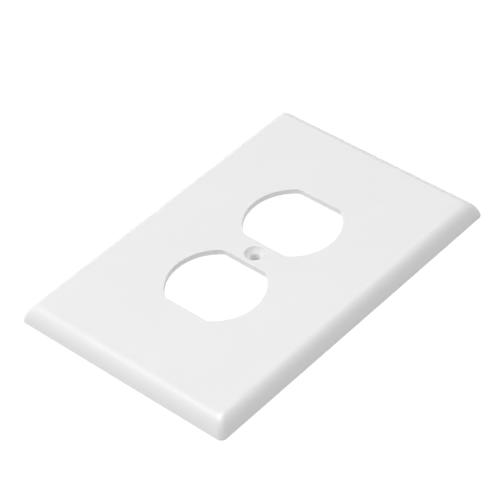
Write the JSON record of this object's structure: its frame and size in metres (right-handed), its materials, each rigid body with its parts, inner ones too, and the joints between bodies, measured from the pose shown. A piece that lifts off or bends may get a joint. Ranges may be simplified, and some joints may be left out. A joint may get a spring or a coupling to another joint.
{
  "type": "duplex wall plate",
  "caption": "Oversize white wall plate with rolled edges, two flat-sided round receptacle openings and a countersunk centre screw hole.",
  "frame": {"origin": "on the screw hole's axis, in the plane of the back rim, which meets the wall", "axes": "+Z out of the wall through the front face, +Y along the plate's length, X across its width"},
  "size_m": [0.0888, 0.1334, 0.0063],
  "materials": {
    "moulded_plastic": "smooth semi-gloss white moulding"
  },
  "bodies": {
    "root": {"wall_plate": "moulded_plastic"}
  },
  "joints": []
}
